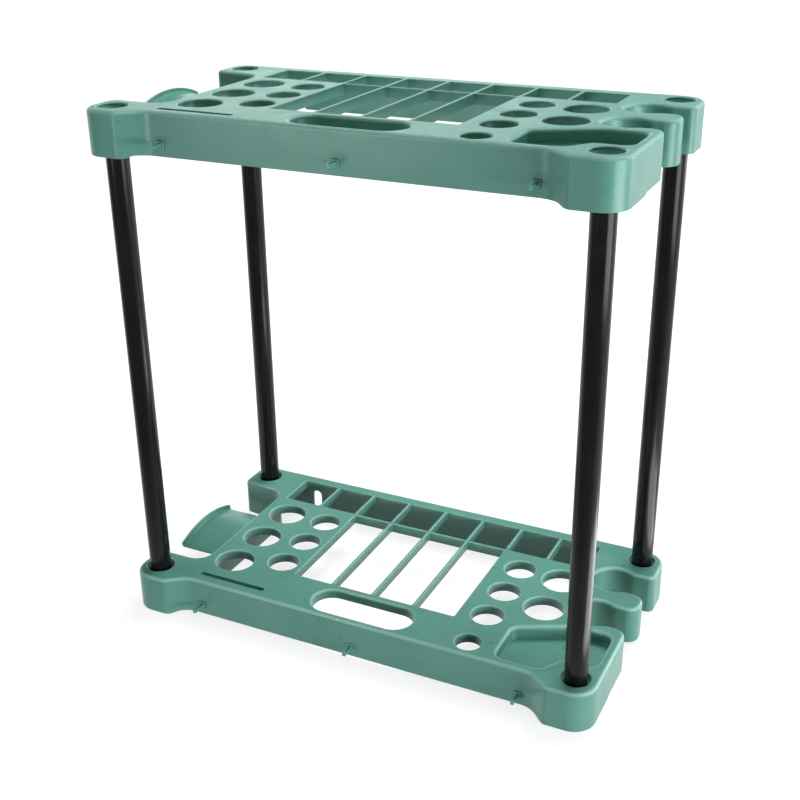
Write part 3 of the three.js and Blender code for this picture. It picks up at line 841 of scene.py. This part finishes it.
studio = {
    "floor": "#969696",
    "floorSide": 6,
    "floorGlow": (0.8, 1.0),  # near the object and far from it
    "glowReach": (0.35, 1.3),
    "floorInGloss": (0.3, 1.0),  # in front of the object and beside it
    "frontReach": (-0.5, -0.05),
    "room": 0.02,
    "roomInGloss": (  # strengths between two values of the direction's x, and shares of them along y and z
        ("X", (-0.45, -0.1), (1, 0.7)),
        ("Y", (0, 0.4), (0.3, 1)),
        ("Z", (0.16, 0.36), (1, 0.03)),
    ),
    "lamps": {  # these light the object and don't show in its gloss
        "right": {"place": (2.3, -0.5, 0.4), "size": (1.2, 0.6), "watts": 46},
        "top": {"place": (0.2, 0.2, 2.4), "size": (1.2, 1), "watts": 15},
        "back": {"place": (0.2, 1.4, 2.3), "size": (1.8, 1.2), "watts": 64},
        "left": {"place": (-1.8, -0.2, 0.9), "size": (1, 0.6), "watts": 9},
        "front": {"place": (-0.2, -1.8, 0.13), "size": (1.2, 0.2), "watts": 11.5},
    },
    "cards": {  # these show only in the gloss
        "frontCard": {"place": (-0.6, -1.18, 0.65), "size": (0.35, 0.7), "watts": 3.8},
        "rightCard": {"place": (0.85, -0.23, 0.4), "size": (0.5, 0.3), "watts": 2.4},
        "leftCard": {"place": (-1.9, 3.4, 1.05), "size": (1.8, 0.6), "watts": 3.2},
        "backCard": {"place": (1.7, 1.7, 0.5), "size": (0.4, 1.4), "watts": 10},
        "floorCard": {
            "place": (0.5, 0.02, 0.01), "aim": (0.501, 0.02, 1), "size": (0.4, 0.24), "watts": 1.5,
        },
    },
    "aim": (0, 0, 0.35),
}

seenRays = ("Is Camera Ray", "Is Transmission Ray")
glossRays = ("Is Glossy Ray",)


# Picks between two shaders: the second is for rays of the named kinds.
def forRays(tree, kinds, usual, picked):
    path = addNode(tree, "ShaderNodeLightPath")
    total = path.outputs[kinds[0]]
    for kind in kinds[1:]:
        total = addNode(tree, "ShaderNodeMath", {"operation": "MAXIMUM"}, {
            0: total, 1: path.outputs[kind],
        }).outputs[0]
    return addNode(tree, "ShaderNodeMixShader", None, {
        "Fac": total, 1: usual.outputs[0], 2: picked.outputs[0],
    })


# A glow whose strength goes from one value to another between two values of a place or direction.
def rangedGlow(tree, value, span, strengths):
    (start, end), (low, high) = span, strengths
    strength = addNode(tree, "ShaderNodeMapRange", None, {
        "Value": value, "From Min": start, "From Max": end, "To Min": low, "To Max": high,
    }).outputs["Result"]
    return addNode(tree, "ShaderNodeEmission", None, {"Strength": strength})


# The floor shows the camera some light of its own, more with its distance from the object, so that it is
# white all round and still keeps the shadow. In gloss it darkens towards the front.
def makeFloor(values):
    material, tree = newMaterial("studio floor")
    diffuse = addNode(tree, "ShaderNodeBsdfDiffuse", None, {"Color": linear(values["floor"])})
    place = addNode(tree, "ShaderNodeTexCoord").outputs["Object"]
    away = addNode(tree, "ShaderNodeVectorMath", {"operation": "LENGTH"}, {"Vector": place}).outputs["Value"]
    glow = rangedGlow(tree, away, values["glowReach"], values["floorGlow"])
    seen = addNode(tree, "ShaderNodeAddShader", None, {0: diffuse.outputs[0], 1: glow.outputs[0]})
    along = addNode(tree, "ShaderNodeSeparateXYZ", None, {"Vector": place}).outputs["Y"]
    inGloss = rangedGlow(tree, along, values["frontReach"], values["floorInGloss"])
    pick = forRays(tree, glossRays, forRays(tree, seenRays, diffuse, seen), inGloss)
    addNode(tree, "ShaderNodeOutputMaterial", None, {"Surface": pick.outputs[0]})
    side = values["floorSide"]
    mesh = bpy.data.meshes.new("floor")
    corners = [(-side, -side, 0), (side, -side, 0), (side, side, 0), (-side, side, 0)]
    mesh.from_pydata(corners, [], [(0, 1, 2, 3)])
    mesh.materials.append(material)
    addObject("floor", mesh)


# The room is white to the camera and gives the object little light. In gloss its walls are pale at the left
# and behind, and its ceiling is dark.
def makeRoom(values):
    world = bpy.data.worlds.new("room")
    world.use_nodes = True
    tree = world.node_tree
    tree.nodes.clear()
    direction = addNode(tree, "ShaderNodeTexCoord").outputs["Generated"]
    parts = addNode(tree, "ShaderNodeSeparateXYZ", None, {"Vector": direction}).outputs
    strength, *shares = [
        addNode(tree, "ShaderNodeMapRange", None, {
            "Value": parts[axis], "From Min": start, "From Max": end, "To Min": low, "To Max": high,
        }).outputs["Result"]
        for axis, (start, end), (low, high) in values["roomInGloss"]
    ]
    for share in shares:
        strength = addNode(tree, "ShaderNodeMath", {"operation": "MULTIPLY"}, {
            0: strength, 1: share,
        }).outputs[0]
    dim, white, walls = [
        addNode(tree, "ShaderNodeEmission", None, {"Strength": amount})
        for amount in (values["room"], 1, strength)
    ]
    pick = forRays(tree, glossRays, forRays(tree, seenRays, dim, white), walls)
    addNode(tree, "ShaderNodeOutputWorld", None, {"Surface": pick.outputs[0]})
    bpy.context.scene.world = world


# Lamps and cards face their aim. One that faces up is aimed a hair beside straight up, because its right
# side is worked out from the upright.
def makeLights(values):
    for name, lamp in {**values["lamps"], **values["cards"]}.items():
        data = bpy.data.lights.new(name, "AREA")
        data.shape = "RECTANGLE"
        data.size, data.size_y = lamp["size"]
        data.energy = lamp["watts"]
        light = addObject(name, data)
        light.visible_camera = False
        light.visible_diffuse = name in values["lamps"]
        light.visible_glossy = name in values["cards"]
        place = np.array(lamp["place"])
        back = unit(place - np.array(lamp.get("aim", values["aim"])))
        right = unit(np.cross([0, 0, 1], back))
        placeObject(light, right, np.cross(back, right), back, place)


makeFloor(studio)
makeRoom(studio)
makeLights(studio)
bpy.context.scene.view_settings.view_transform = "Standard"
print("studio made")
